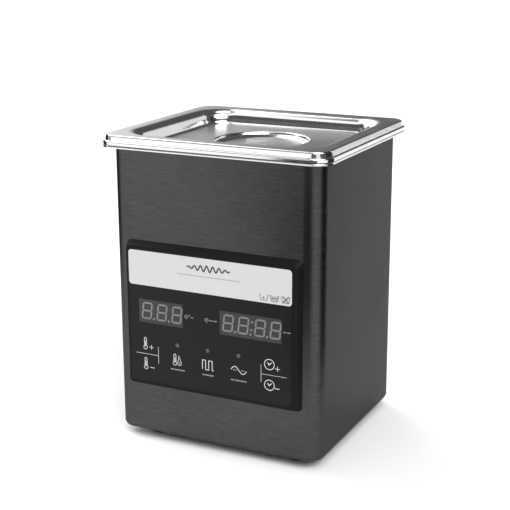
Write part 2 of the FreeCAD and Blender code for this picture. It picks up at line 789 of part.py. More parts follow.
def make_display_board():
    face = overlay_face + 0.1
    depth = board_front - face
    for label, x, width in (
        ("temperature_display", d.temp_x, d.temp_width),
        ("timer_display", d.timer_x, d.timer_width),
    ):
        case = box((x, face + depth / 2, d.display_z), (width - 0.2, depth, d.display_height - 0.2))
        node(label, case)
    node("indicator_lights", join([rod((x, face, d.led_z), d.led_radius, depth, "y") for x in LIGHTS]))
    board = span((-58, board_front, 52.5), (58, board_front + d.board, 121.5))
    holes = [rod((x, board_front - 1, z), 1.35, 4, "y") for x, z in DISPLAY_POSTS]
    node("display_board", cut(board, holes))
    back = panel_face + panel_plate
    node("touch_springs", join([tube((x, back, z), 5, 4, board_front - back, "y") for x, z in TOUCH_KEYS]))
    behind = board_front + d.board
    chips = [box((12, behind + 1, 80), (14, 2, 10)), box((-30, behind + 1, 84), (10, 2, 8))]
    chips.append(box((-20, behind + 3, 62), (24, 6, 7)))
    node("display_chips", join(chips))
    screws = [screw((x, behind, z), 1.25, 6, 2.3, 1.8, "-y") for x, z in DISPLAY_POSTS]
    screws += [screw((x, front + d.metal, z), 1.25, 3.4, 2.3, 1.6, "-y") for x, z in PANEL_SCREWS]
    node("panel_screws", join(screws))


# ---------------------------------------------------------------- generator board
def make_generator():
    x, y = d.power_x, d.power_y
    board = box((x, y, power_top - d.board / 2), (d.power_width, d.power_depth, d.board))
    places = [(x + dx, y + dy) for dx, dy in STANDOFFS]
    node("generator_board", cut(board, [rod((px, py, base_top), 1.6, 20) for px, py in places]))
    node("board_standoffs", join([tube((px, py, base_top), 3, 1.5, d.standoff) for px, py in places]))
    length = power_top - base_under
    screws = [screw((px, py, power_top), 1.5, length, 2.75, 1.8, "-z") for px, py in places]
    node("board_screws", join(screws))

    spine = box((-60, -16, power_top + 15), (4, 66, 30))
    fins = [box((-64.5, -47 + 6.2 * fin, power_top + 16), (5, 2, 28)) for fin in range(11)]
    node("heatsink", join([spine] + fins))
    transistors = []
    for place in (-34, -2):
        transistors.append(box((-55.6, place, power_top + 12), (4.8, 10.4, 16)))
        transistors += [box((-55, place + 2.5 * leg, power_top + 2), (0.8, 1, 4)) for leg in (-1, 0, 1)]
    node("power_transistors", join(transistors))

    core = [
        box((-30, -30, power_top + 3), (34, 11, 6)),
        box((-30, -30, power_top + 27), (34, 11, 6)),
        box((-44, -30, power_top + 15), (6, 11, 18)),
        box((-16, -30, power_top + 15), (6, 11, 18)),
        box((-30, -30, power_top + 15), (9, 11, 18)),
    ]
    node("transformer_core", join(core))
    middle = (-30, -30, power_top + 15)
    coil = cut(box(middle, (21, 24, 17.6)), [box(middle, (9.4, 11.4, 20))])
    node("transformer_winding", coil)
    ring = doc.addObject("Part::Torus", "ring")
    bind(ring, "Radius1", 8)
    bind(ring, "Radius2", 3.6)
    move_to(ring, -30, 3, power_top + 3.6)
    node("choke", ring)
    cans = [rod((-34 + 19 * step, 25, power_top), 8, 26 - 6 * step) for step in range(2)]
    node("bulk_capacitors", join(cans))
    films = [box((-4, -41 + 12.5 * step, power_top + 7.5), (16, 8, 15)) for step in range(3)]
    node("film_capacitors", join(films))
    node("bridge_rectifier", box((-50, 27, power_top + 9), (4.6, 16, 18)))
    node("relay", box((-2, 3, power_top + 8), (13, 16, 16)))
    sockets = [box((3.5, 20, power_top + 4), (7, 14, 8)), box((-46, -52, power_top + 4), (18, 6, 8))]
    sockets.append(box((-18, -52, power_top + 4), (22, 6, 8)))
    node("board_connectors", join(sockets))


# ---------------------------------------------------------------- mains inlet and switch
def make_inlet():
    x, z = d.inlet_x, d.rear_z
    wall = box((x, rear + 1.25, z), (50, 2.5, 34))
    behind = box((x, rear - 14, z), (28, 28, 31.4))
    socket = box((x, rear - 5.5, z + 5.5), (24.2, 17, 16.6))
    pocket = box((x, rear - 8, z - 10.7), (22, 22, 8.6))
    screw_holes = [rod((x + side * 20, rear - 1, z), 1.6, 5, "y") for side in (1, -1)]
    blade_holes = [box((x + dx, rear - 20, z + dz), (2, 20, 4)) for dx, dz in INLET_PINS]
    node("inlet_body", cut(join([wall, behind]), [socket, pocket] + screw_holes + blade_holes))
    pins = [box((x + dx, rear - 19, z + dz), (2, 34, 4)) for dx, dz in INLET_PINS]
    tags = [box((d.switch_x, rear - 21, d.rear_z + step), (5, 8, 0.8)) for step in (-7, 0)]
    node("mains_terminals", join(pins + tags))
    flange_screws = [screw((x + side * 20, rear + 2.5, z), 1.5, 8, 2.8, 1.7, "-y") for side in (1, -1)]
    node("inlet_screws", join(flange_screws))
    gap = d.drawer_gap
    tray = box((x, rear - 7.6, z - 10.7), (22 - 2 * gap, 20.2, 8.6 - 2 * gap))
    lip = box((x, rear + 3.4, z - 10.7), (20, 1.8, 7))
    slot = box((x, rear - 9, z - 9), (17.2, 14, 6.2))
    grip = box((x, rear + 4.2, z - 8.6), (9, 1.2, 1.2))
    node("fuse_drawer", cut(join([tray, lip]), [slot, grip]))
    glass = doc.addObject("Part::Cylinder", "fuse")
    glass.Placement = FreeCAD.Placement(V(), TURN["x"])
    bind(glass, "Radius", 2.5)
    bind(glass, "Height", 16.6)
    move_to(glass, x - 8.3, rear - 9, z - 9.5)
    node("fuse", glass)


INLET_PINS = [(-7, 3), (7, 3), (0, 8)]
ROCKER_TILT = 9


def make_switch():
    x, z = d.switch_x, d.rear_z
    frame = box((x, rear + 1, z), (19, 2, 28))
    behind = box((x, rear - 8.5, z), (16, 17, 24.6))
    pocket = box((x, rear - 1.5, z), (13.4, 9, 21.8))
    node("switch_body", cut(join([frame, behind]), [pocket]))
    body = new_body()
    sketch = new_sketch(body, "YZ_Plane", -(13.4 / 2) + d.rocker_gap)
    polygon(sketch, [(4.6, 9.7), (3.0, 0), (4.6, -9.7), (0.8, -10), (-3.4, -1.2), (-3.4, 1.2), (0.8, 10)])
    pad(body, sketch, 13.4 - 2 * d.rocker_gap)
    body.Placement = FreeCAD.Placement(V(), FreeCAD.Rotation(V(1, 0, 0), ROCKER_TILT))
    move_to(body, x, rear + 0.8, z)
    node("switch_rocker", body)


# ---------------------------------------------------------------- cooling fan
def make_fan():
    x, y = d.fan_x, d.fan_y
    bottom = base_top
    hub_bottom = bottom + d.fan_height - 3
    block = box((x, y, bottom + d.fan_height / 2), (d.fan_size, d.fan_size, d.fan_height))
    ring = cut(block, [rod((x, y, bottom - 1), d.fan_bore, 20)])
    hub = rod((x, y, hub_bottom), 12, 3)
    struts = [box((x, y, hub_bottom + 1.5), (2 * d.fan_bore + 2, 3, 3))]
    struts.append(box((x, y, hub_bottom + 1.5), (3, 2 * d.fan_bore + 2, 3)))
    bearing = rod((x, y, hub_bottom - 1), 1.5 + d.shaft_gap, 5)
    holes = [rod((x + dx, y + dy, bottom - 1), 1.8, 20) for dx, dy in FAN_HOLES]
    node("fan_frame", cut(join([ring, hub] + struts), [bearing] + holes))

    low = bottom.value + 1.2
    centre = V(x.value, y.value, 0)
    rotor_hub = Part.makeCylinder(11, 9.4, centre + V(0, 0, low))
    shaft = Part.makeCylinder(1.5, 12.6, centre + V(0, 0, low))
    parts = [rotor_hub, shaft]
    for blade in range(7):
        vane = Part.makeBox(12, 1.2, 11, V(10.5, -0.6, -5.5))
        vane.rotate(V(), V(1, 0, 0), 38)
        trim = Part.makeCylinder(22.6, 20, V(0, 0, -10)).common(Part.makeBox(60, 60, 8.4, V(-30, -30, -4.2)))
        vane = vane.common(trim)
        vane.rotate(V(), V(0, 0, 1), blade * 360 / 7)
        vane.translate(centre + V(0, 0, low + 4.7))
        parts.append(vane)
    node("fan_rotor", feature(fused(parts)))


# ---------------------------------------------------------------- internal leads
def make_leads():
    live = [
        (-49, 36.5, 49),
        (-49, 30, 49),
        (-46, 18, 52),
        (-28, 8, 56),
        (-8, 14, 50),
        (3.5, 24, 36),
        (3.5, 24, 27.1),
    ]
    neutral = [(-35, 36.5, 49), (-35, 30, 49), (-27, 26, 54), (-12, 28, 54), (-4, 38, 46), (-4, 47.5, 46)]
    earth = [(-42, 36.5, 54), (-42, 30, 54), (-52, 30, 60), (-69, 44, 54), (-69, 56, 30), (-69, 56, 9.5)]
    mains = [lead(live, 1), lead(neutral, 1), lead(earth, 1.1)]
    node("mains_leads", feature(Part.makeCompound(mains)))
    drive = [
        (-9, -52, 27.1),
        (-9, -52, 40),
        (-8, -44, 56),
        (-2, -26, 76),
        (-1, -10, 90),
        (2, 0, 100.65),
        (9, 0, 100.65),
    ]
    heat = [(-50, -52, 27.1), (-50, -52, 42), (-34, -54, 62), (-10, -52, 82), (0, -44, 100), (0, -44, 115.85)]
    probe = [
        (-42, -52, 27.1),
        (-42, -52, 44),
        (-58, -50, 68),
        (-69, -26, 90),
        (-71, 14, 104),
        (-66, 50, 108),
        (-50, 69.2, 116),
        (-50, 69.2, 134),
    ]
    loads = [lead(drive, 0.9), lead(heat, 0.8), lead(probe, 0.7)]
    node("load_leads", feature(Part.makeCompound(loads)))
    route = [(-61.6, 62), (-54, 62), (-45, 52), (-45, 40), (-52, 34), (-52, 27.1)]
    strip = sheet_section(route, [4, 5, 4, 3], 1)
    strip.rotate(V(), V(0, 0, 1), 90)
    strip.translate(V(-14, 0, 0))
    node("display_ribbon", feature(strip.extrude(V(-16, 0, 0))))


# ---------------------------------------------------------------- build, test and write
def main():
    make_housing()
    make_base()
    make_feet()
    make_tank()
    make_lid()
    make_basket()
    make_transducers()
    make_tank_sensors()
    make_panel()
    make_display_board()
    make_generator()
    make_inlet()
    make_switch()
    make_fan()
    make_leads()
    doc.recompute()

    for item in doc.Objects:
        if {"Invalid", "Error"} & set(item.State):
            raise RuntimeError(f"{item.Name} ({item.Label}) failed: {item.State}")
    os.makedirs("parts", exist_ok=True)
    for old in os.listdir("parts"):
        os.remove(os.path.join("parts", old))
    for item in nodes:
        shape = item.Shape
        if shape.isNull() or not shape.isValid() or not shape.Solids:
            raise RuntimeError(f"{item.Label} has no valid shape")
        shape.exportStep(f"parts/{item.Label}.step")
        extent = shape.BoundBox
        print(f"{item.Label:22s} solids {len(shape.Solids):3d} volume {shape.Volume:10.1f} "
              f"x {extent.XMin:7.2f} {extent.XMax:7.2f} y {extent.YMin:7.2f} {extent.YMax:7.2f} "
              f"z {extent.ZMin:7.2f} {extent.ZMax:7.2f}")
    print(len(nodes), "sub-parts")


main()
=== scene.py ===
import json
import math

import bmesh
import bpy
from mathutils import Matrix, Vector


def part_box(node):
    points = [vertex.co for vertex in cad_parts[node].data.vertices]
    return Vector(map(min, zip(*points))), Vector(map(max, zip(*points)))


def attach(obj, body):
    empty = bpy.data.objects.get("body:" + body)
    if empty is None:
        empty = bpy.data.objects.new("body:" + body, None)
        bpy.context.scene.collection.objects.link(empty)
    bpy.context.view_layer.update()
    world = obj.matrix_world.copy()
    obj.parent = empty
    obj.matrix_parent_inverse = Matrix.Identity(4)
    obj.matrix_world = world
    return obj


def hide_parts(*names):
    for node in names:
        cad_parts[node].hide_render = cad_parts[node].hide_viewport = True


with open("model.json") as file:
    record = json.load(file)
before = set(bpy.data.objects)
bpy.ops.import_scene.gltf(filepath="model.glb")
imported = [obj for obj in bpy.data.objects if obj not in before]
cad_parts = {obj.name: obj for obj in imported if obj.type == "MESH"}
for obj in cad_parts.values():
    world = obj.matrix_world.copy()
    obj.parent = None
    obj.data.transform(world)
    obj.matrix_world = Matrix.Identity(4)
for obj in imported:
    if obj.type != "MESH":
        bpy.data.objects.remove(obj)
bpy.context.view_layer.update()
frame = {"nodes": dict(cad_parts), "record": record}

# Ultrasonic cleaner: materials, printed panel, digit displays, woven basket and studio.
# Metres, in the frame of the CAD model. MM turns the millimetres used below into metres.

nodes = frame["nodes"]
MM = 0.001


# ---------------------------------------------------------------- node-graph helpers
class Graph:
    """A material's node tree with short calls for the nodes used here."""

    def __init__(self, name, color, metallic=0.0, roughness=0.5, **sockets):
        self.material = bpy.data.materials.new(name)
        self.material.use_nodes = True
        self.tree = self.material.node_tree
        self.shader = self.tree.nodes["Principled BSDF"]
        self.set(self.shader, "Base Color", (*color, 1.0))
        self.set(self.shader, "Metallic", metallic)
        self.set(self.shader, "Roughness", roughness)
        for socket, value in sockets.items():
            self.set(self.shader, socket.replace("_", " "), value)

    def set(self, node, socket, value):
        if isinstance(value, bpy.types.NodeSocket):
            self.tree.links.new(value, node.inputs[socket])
        else:
            node.inputs[socket].default_value = value

    def add(self, kind, output=0, settings=None, **sockets):
        node = self.tree.nodes.new(kind)
        for name, value in (settings or {}).items():
            setattr(node, name, value)
        for socket, value in sockets.items():
            self.set(node, socket.replace("_", " "), value)
        return node.outputs[output]

    def place(self, scale):
        """Object coordinates stretched by a scale along each axis."""
        where = self.add("ShaderNodeTexCoord", output=3)
        return self.add("ShaderNodeMapping", Vector=where, Scale=scale)

    def noise(self, scale, detail=4.0, size=1.0, roughness=0.55):
        """Noise of about one feature per 1/scale metres along each axis."""
        return self.add(
            "ShaderNodeTexNoise", Vector=self.place(scale), Scale=size, Detail=detail, Roughness=roughness
        )

    def spread(self, value, low, high, start=0.25, end=0.75):
        """Maps a noise value between start and end onto low to high."""
        node = self.tree.nodes.new("ShaderNodeMapRange")
        for index, amount in enumerate((value, start, end, low, high)):
            self.set(node, index, amount)
        return node.outputs[0]

    def math(self, operation, a, b=0.0):
        node = self.tree.nodes.new("ShaderNodeMath")
        node.operation = operation
        self.set(node, 0, a)
        self.set(node, 1, b)
        return node.outputs[0]

    def shade(self, value, dark, light):
        """A colour between two colours, which are inputs 6 and 7 of the node."""
        node = self.tree.nodes.new("ShaderNodeMix")
        node.data_type = "RGBA"
        self.set(node, 0, value)
        self.set(node, 6, (*dark, 1.0))
        self.set(node, 7, (*light, 1.0))
        return node.outputs[2]

    def color(self, socket):
        self.set(self.shader, "Base Color", socket)

    def roughness(self, socket):
        self.set(self.shader, "Roughness", socket)

    def bump(self, height, depth, strength=1.0, normal=None):
        """Bump from a height of 0 to 1 that stands for a depth in metres."""
        extra = {"Normal": normal} if normal else {}
        bent = self.add("ShaderNodeBump", Height=height, Distance=depth, Strength=strength, **extra)
        self.set(self.shader, "Normal", bent)
        return bent

    def soft_edges(self, radius):
        """Rounds the light on sharp edges by a radius in metres."""
        return self.add("ShaderNodeBevel", settings={"samples": 6}, Radius=radius)


def gray(level, tint=(0.0, 0.0, 0.0)):
    return tuple(level * (1 + t) for t in tint)


# ---------------------------------------------------------------- materials
def brushed_black_steel():
    """Dark coated steel: short level brush strokes, broken up by a finer mottle."""
    edge_tint = (*gray(0.55), 1.0)
    g = Graph("housing_black_steel", gray(0.06), metallic=1.0, roughness=0.34, Specular_Tint=edge_tint)
    strokes = g.noise((70, 70, 2200), detail=5)
    mottle = g.noise((700, 700, 900), detail=3)
    cloud = g.noise((14, 14, 9), detail=3)
    grain = g.math("ADD", g.math("MULTIPLY", strokes, 0.7), g.math("MULTIPLY", mottle, 0.3))
    tone = g.math("ADD", g.math("MULTIPLY", grain, 0.8), g.math("MULTIPLY", cloud, 0.2))
    g.color(g.shade(g.spread(tone, 0, 1, 0.34, 0.66), gray(0.042), gray(0.086, (0.01, 0.01, 0.01))))
    g.roughness(g.spread(grain, 0.27, 0.42, 0.3, 0.7))
    g.bump(grain, 0.00006, 0.5)
    return g.material


# How level a face is where it starts to count as a flat, and where it fully does.
FLAT_FROM, FLAT_FULL = 0.92, 0.995


def stainless(name, tone, rough, flats=0.0, stroke=(900, 60, 900), depth=0.000012):
    """Pressed stainless with a drawn grain and cloudy wipes; flats are rougher than bends, and their colour
    is painted darker as painted shade.
    """
    g = Graph(name, gray(tone), metallic=1.0, roughness=rough[0])
    strokes = g.noise(stroke, detail=4)
    wipes = g.noise((22, 30, 22), detail=4)
    finish = g.spread(g.math("ADD", g.math("MULTIPLY", wipes, 0.6), g.math("MULTIPLY", strokes, 0.4)), *rough)
    facing = g.add("ShaderNodeSeparateXYZ", output=2, Vector=g.add("ShaderNodeTexCoord", output=1))
    level = g.spread(g.math("ABSOLUTE", facing), 0, 1, FLAT_FROM, FLAT_FULL)
    # Painted shade: level faces lose flats x 4 of this value on top of the cloudy wipes, so their colour is
    # painted darker.
    wipes_and_flat_shade = g.math("SUBTRACT", g.spread(wipes, 0.8, 1, 0.3, 0.7), g.math("MULTIPLY", level, flats * 4))
    g.color(g.shade(wipes_and_flat_shade, gray(tone * 0.6), gray(tone * 1.04)))
    g.roughness(g.math("ADD", finish, g.math("MULTIPLY", level, flats)))
    g.bump(strokes, depth, 0.4)
    return g.material


def plastic(name, level, rough, tint=(0, 0, 0), grain=2400, depth=0.00003, edge=0.0003, sheen=0.5):
    """Moulded plastic with a fine spark-eroded grain, cloudy gloss and softened edges."""
    g = Graph(name, gray(level, tint), roughness=rough, Specular_IOR_Level=sheen)
    fine = g.noise((grain, grain, grain), detail=2)
    cloud = g.noise((40, 40, 40), detail=3)
    g.color(g.shade(g.spread(cloud, 0, 1), gray(level * 0.88, tint), gray(level * 1.12, tint)))
    g.roughness(g.spread(cloud, rough * 0.88, min(1.0, rough * 1.12)))
    g.bump(fine, depth, 0.4, g.soft_edges(edge))
    return g.material


def rubber(name, level=0.018, tint=(0, 0, 0)):
    g = Graph(name, gray(level, tint), roughness=0.75)
    fine = g.noise((1800, 1800, 1800), detail=3)
    dust = g.noise((60, 60, 200), detail=4)
    g.color(g.shade(g.spread(dust, 0, 1, 0.4, 0.8), gray(level, tint), gray(level * 1.9, tint)))
    g.roughness(g.spread(dust, 0.62, 0.85))
    g.bump(fine, 0.00005, 0.5, g.soft_edges(0.0004))
    return g.material


def powder_coat(name, level=0.02):
    """Black powder coat with a fine orange-peel surface."""
    g = Graph(name, gray(level), metallic=0.0, roughness=0.5)
    peel = g.noise((1300, 1300, 1300), detail=2)
    cloud = g.noise((18, 18, 18), detail=3)
    g.color(g.shade(g.spread(cloud, 0, 1), gray(level * 0.85), gray(level * 1.2)))
    g.roughness(g.spread(cloud, 0.42, 0.58))
    g.bump(peel, 0.00006, 0.6)
    return g.material


def metal(name, color, rough=0.3, stroke=(700, 700, 90), depth=0.00002):
    """Turned, plated or rolled metal with fine tool marks."""
    g = Graph(name, color, metallic=1.0, roughness=rough)
    marks = g.noise(stroke, detail=4)
    stain = g.noise((90, 90, 90), detail=3)
    darker = tuple(c * 0.82 for c in color)
    g.color(g.shade(g.spread(stain, 0, 1), darker, color))
    g.roughness(g.spread(marks, rough * 0.75, rough * 1.3))
    g.bump(marks, depth, 0.5, g.soft_edges(0.0002))
    return g.material


def circuit_board(name):
    """Green solder mask over copper tracks that show as paler lanes."""
    g = Graph(name, (0.02, 0.15, 0.06), roughness=0.35)
    where = g.place((260, 260, 260))
    lanes = g.add("ShaderNodeTexBrick", output=1, Vector=where, Scale=1.0, Mortar_Size=0.03)
    cloud = g.noise((60, 60, 60), detail=3)
    cover = g.math("MULTIPLY", lanes, g.spread(cloud, 0.3, 1))
    g.color(g.shade(cover, (0.015, 0.12, 0.045), (0.06, 0.26, 0.11)))
    g.roughness(g.spread(cloud, 0.28, 0.42))
    g.bump(lanes, 0.00003, 0.5)
    return g.material


def wound(name, color, pitch):
    """Windings: close round wires lying side by side, with painted shade in bands across each wire and in the
    grooves between them.
    """
    g = Graph(name, color, metallic=0.6, roughness=0.35)
    where = g.place((pitch, pitch * 0.02, pitch * 0.6))
    wires = g.add("ShaderNodeTexWave", output=1, Vector=where, Scale=1.0, Distortion=1.2)
    # Painted shade: the colour drops to 0.45 of itself in the wave bands, as shade across the round wires and
    # between them.
    g.color(g.shade(wires, tuple(c * 0.45 for c in color), color))
    g.bump(wires, 0.0002, 0.7)
    return g.material


def glass_tube(name):
    g = Graph(name, (0.86, 0.9, 0.9), roughness=0.06, Transmission_Weight=0.85, IOR=1.5)
    smear = g.noise((150, 150, 150), detail=3)
    g.roughness(g.spread(smear, 0.03, 0.14))
    return g.material


def printed(name, level, rough=0.45, tint=(0, 0, 0), uneven=0.05, sheen=0.5):
    """Screen-printed ink or film: slightly uneven cover and a fine tooth."""
    g = Graph(name, gray(level, tint), roughness=rough, Specular_IOR_Level=sheen)
    tooth = g.noise((3000, 3000, 3000), detail=2)
    cover = g.noise((120, 120, 120), detail=3)
    thin, full = gray(level * (1 - uneven), tint), gray(level * (1 + uneven), tint)
    g.color(g.shade(g.spread(cover, 0, 1), thin, full))
    g.roughness(g.spread(cover, rough * 0.9, rough * 1.12))
    g.bump(tooth, 0.00001, 0.3)
    return g.material


looks = {
    "housing_steel": brushed_black_steel(),
    "base_steel": powder_coat("base_black_coat"),
    "tank_steel": stainless("tank_stainless", 0.70, (0.12, 0.22), 0.06),
    "lid_steel": stainless("lid_stainless", 0.72, (0.10, 0.17), 0.2),
    "basket_steel": stainless("basket_stainless", 0.62, (0.2, 0.3), stroke=(900, 900, 900)),
    "screw_steel": metal("plated_screw", gray(0.55), 0.28),
    "black_screw": metal("black_zinc_screw", gray(0.06), 0.34),
    "foot_rubber": rubber("foot_rubber"),
    "gasket_rubber": rubber("gasket_rubber", 0.05),
    "bezel_plastic": plastic("bezel_plastic", 0.006, 0.46, (-0.02, 0.01, 0.03), sheen=0.1),
    "overlay_film": printed("overlay_film", 0.006, 0.30, (-0.04, 0.02, 0.04), uneven=0.1, sheen=0.16),
    "label_film": printed("label_film", 0.50, 0.45, (-0.008, 0.004, 0.012), uneven=0.015),
    "display_face": plastic(
        "display_face", 0.036, 0.38, (0.02, -0.01, 0.02), depth=0.00002, edge=0.0002, sheen=0.2
    ),
    "light_lens": plastic("light_lens", 0.05, 0.25, grain=400, depth=0.00002),
    "board_green": circuit_board("circuit_board"),
    "spring_steel": metal("spring_steel", gray(0.5), 0.25),
    "aluminium": metal("turned_aluminium", (0.60, 0.61, 0.62), 0.32),
    "mass_steel": metal("turned_steel", gray(0.38), 0.34),
    "piezo_ceramic": printed("piezo_ceramic", 0.45, 0.5, (0.1, 0, -0.3)),
    "copper": metal("copper_strip", (0.72, 0.38, 0.22), 0.3),
    "heater_silicone": rubber("heater_silicone", 0.30, (0.7, -0.45, -0.85)),
    "black_component": plastic("component_case", 0.022, 0.45),
    "ferrite": plastic("ferrite", 0.05, 0.6, depth=0.00006),
    "winding": wound("enamelled_winding", (0.62, 0.31, 0.08), 1600),
    "capacitor_sleeve": plastic("capacitor_sleeve", 0.05, 0.25, (-0.2, 0, 0.9)),
    "film_case": plastic("film_capacitor_case", 0.3, 0.3, (0.6, -0.75, -0.8)),
    "connector_plastic": plastic("connector_plastic", 0.62, 0.4, (0.03, 0, -0.06)),
    "inlet_plastic": plastic("inlet_plastic", 0.022, 0.38),
    "terminal_brass": metal("plated_terminal", (0.66, 0.60, 0.46), 0.25),
    "fuse_glass": glass_tube("fuse_glass"),
    "rocker_plastic": plastic("rocker_plastic", 0.024, 0.2, depth=0.000008),
    "fan_plastic": plastic("fan_plastic", 0.022, 0.4),
    "lead_insulation": rubber("lead_insulation", 0.12, (1.2, -0.7, -0.75)),
    "ribbon_insulation": wound("ribbon_cable", (0.40, 0.41, 0.44), 800),
}
inks = {
    "white": printed("ink_white", 0.58, 0.5),
    "soft": printed("ink_soft_white", 0.22, 0.5),
    "dark": printed("ink_dark", 0.045, 0.5),
    "slate": printed("ink_slate", 0.28, 0.5),
    "segment": plastic("digit_segment", 0.17, 0.4, (0.01, 0, 0), depth=0.000008, edge=0.00005, sheen=0.2),
}

for entry in frame["record"]["subparts"]:
    cad_piece = nodes[entry["node"]]
    cad_piece.data.materials.clear()
    cad_piece.data.materials.append(looks[entry["material_slot"]])


# ---------------------------------------------------------------- mesh helpers
def piece(name, mesh, material, body):
    """A finished object with its material, riding on a CAD body."""
    thing = bpy.data.objects.new(name, mesh)
    bpy.context.scene.collection.objects.link(thing)
    mesh.materials.append(material)
    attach(thing, body)
    return thing


def mesh_from(form, name, smooth=False):
    bmesh.ops.recalc_face_normals(form, faces=form.faces)
    mesh = bpy.data.meshes.new(name)
    form.to_mesh(mesh)
    form.free()
    if smooth:
        mesh.shade_smooth()
    return mesh


def arc(x, z, radius, start, end, steps=24):
    """Points on an arc, in degrees from +X towards +Z."""
    turns = [math.radians(start + (end - start) * i / steps) for i in range(steps + 1)]
    return [(x + radius * math.cos(a), z + radius * math.sin(a)) for a in turns]


def stroke(points, width, closed=False):
    """Quads along a line of (x, z) points, mitred at each point, with long mitres cut short."""
    line = [Vector(p) for p in points]
    count = len(line)
    left, right = [], []
    for i, p in enumerate(line):
        before = line[i - 1] if (i > 0 or closed) else None
        after = line[(i + 1) % count] if (i < count - 1 or closed) else None
        into = (p - before).normalized() if before is not None else (after - p).normalized()
        out = (after - p).normalized() if after is not None else into
        along = (into + out).normalized() if (into + out).length > 1e-6 else into
        across = Vector((-along.y, along.x))
        reach = width / 2 / max(0.35, across.dot(Vector((-into.y, into.x))))
        left.append(p + across * reach)
        right.append(p - across * reach)
    last = count if closed else count - 1
    return [[left[i], left[(i + 1) % count], right[(i + 1) % count], right[i]] for i in range(last)]


def bar(x0, z0, x1, z1):
    return [[Vector((x0, z0)), Vector((x1, z0)), Vector((x1, z1)), Vector((x0, z1))]]


def raised(name, shapes, y, thickness, material, body="cabinet"):
    """Flat shapes in (x, z) millimetres, standing proud of the plane y towards -Y.

    z is counted from the lower edge of the housing.
    """
    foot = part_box("housing")[0].z
    form = bmesh.new()
    for shape in shapes:
        rings = []
        for depth in (0.0, thickness):
            rings.append([form.verts.new((p[0] * MM, y - depth, foot + p[1] * MM)) for p in shape])
        count = len(shape)
        form.faces.new(rings[0])
        form.faces.new(rings[1])
        for i in range(count):
            form.faces.new((rings[0][i], rings[0][(i + 1) % count], rings[1][(i + 1) % count], rings[1][i]))
    return piece(name, mesh_from(form, name), material, body)


# ---------------------------------------------------------------- printed panel
INK = 0.03 * MM
# Each dash of a caption and the gap after it, as shares of the caption's width.
DASHES = (0.15, 0.09, 0.17, 0.11, 0.15, 0.13)
DASH_GAP = 0.04


def thermometer(x, z, height):
    """Outlined bulb and tube with a filled column, with the bulb's centre at x, z."""
    bulb, tube, line = 1.5, 0.85, 0.45
    gap = math.degrees(math.asin(tube / bulb))
    shape = arc(x, z, bulb, 90 + gap, 450 - gap, 26)
    shape += arc(x, z + height, tube, 0, 180, 10)
    marks = stroke(shape, line, closed=True)
    marks += stroke([(x, z + 0.4), (x, z + height * 0.72)], 0.6)
    return marks


def flame(x, z):
    """Outlined flame standing on its lower edge, about x."""
    edge = [(-0.6, 7), (0.3, 5), (1.1, 2.9), (1.4, 1.3), (0.8, 0.1), (-0.1, -0.1)]
    edge += [(-1.1, 0.3), (-1.5, 1.8), (-1.1, 3.8), (-0.7, 5.4)]
    marks = stroke([(x + px, z + pz) for px, pz in edge], 0.38, closed=True)
    return marks + stroke([(x, z + 1.2), (x + 0.2, z + 2.8)], 0.35)


def clock(x, z, radius, width):
    marks = stroke(arc(x, z, radius, 0, 360, 48)[:-1], width, closed=True)
    hands = [(-0.38, 0.34), (-0.02, -0.1), (0.44, 0.4)]
    return marks + stroke([(x + radius * px, z + radius * pz) for px, pz in hands], width * 1.2)


def plus(x, z, reach, width):
    half = width / 2
    return bar(x - reach, z - half, x + reach, z + half) + bar(x - half, z - reach, x + half, z + reach)


def caption(x0, x1, z):
    """A row of short dashes that stands in for a caption."""
    marks = []
    start = x0
    for share in DASHES:
        end = start + (x1 - x0) * share
        marks += bar(start, z - 0.5, end, z + 0.5)
        start = end + (x1 - x0) * DASH_GAP
    return marks


def panel_marks():
    """Key symbols and rules printed in white on the dark overlay."""
    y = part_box("panel_overlay")[0].y
    fine, bold = 0.42, 0.5
    # temperature up and down, and the rules between the keys
    marks = thermometer(-52.2, 64.2, 6.4) + plus(-47.3, 64.6, 1.75, fine)
    marks += thermometer(-52.2, 49.2, 6.2) + bar(-48.7, 49.0, -45.2, 49.0 + bold)
    marks += bar(-60, 59.05, -41.7, 59.35) + bar(-41.85, 53, -41.55, 65.8)
    # heater
    marks += thermometer(-28.3, 55.8, 5.9) + flame(-24.5, 54.6)
    # pulses
    low, high = 55.0, 61.9
    wave = [(-6.2, low), (-6.2, high), (-3.7, high), (-3.7, low), (-1.2, low), (-1.2, high), (1.5, high)]
    marks += stroke(wave + [(1.5, low), (2.7, low)], bold)
    # degas wave
    turns = [i / 40 for i in range(41)]
    marks += stroke([(16.3 + 12 * t, 58.7 + 2.5 * math.sin(2 * math.pi * t)) for t in turns], bold)
    marks += bar(18, 58.5, 20.6, 58.75) + bar(24, 58.6, 26.6, 58.85)
    # time up and down, and the rules between the keys
    marks += clock(45.6, 66.8, 3.7, bold) + plus(51.7, 64.4, 1.85, fine)
    marks += clock(45.6, 51.8, 3.7, bold) + bar(49.7, 49.8, 53.3, 49.8 + bold)
    marks += bar(39.3, 59.07, 58.6, 59.33) + bar(39.17, 53, 39.43, 66)
    raised("panel_symbols", marks, y, INK, inks["white"])
    # captions under the keys, then the marks over the displays and lights
    captions = caption(-31.8, -20.6, 51.1) + caption(-6.4, 2.4, 51.1) + caption(16.2, 28.2, 51.1)
    captions += stroke(arc(-18.4, 91.7, 1.25, 0, 360, 24)[:-1], 0.36, closed=True)
    captions += bar(-18.8, 91.5, -18.0, 91.9)
    captions += stroke(arc(-15.9, 92.9, 0.5, 0, 360, 12)[:-1], 0.3, closed=True)
    captions += bar(-14.9, 91.2, -12.9, 91.8)
    captions += clock(-2.4, 91.5, 1.35, 0.34) + bar(-0.2, 91.2, 2.1, 91.8) + bar(2.7, 91.2, 5.6, 91.8)
    captions += bar(55.9, 91.1, 58.3, 91.7) + bar(58.9, 91.1, 61.4, 91.7)
    raised("panel_captions", captions, y, INK, inks["soft"])


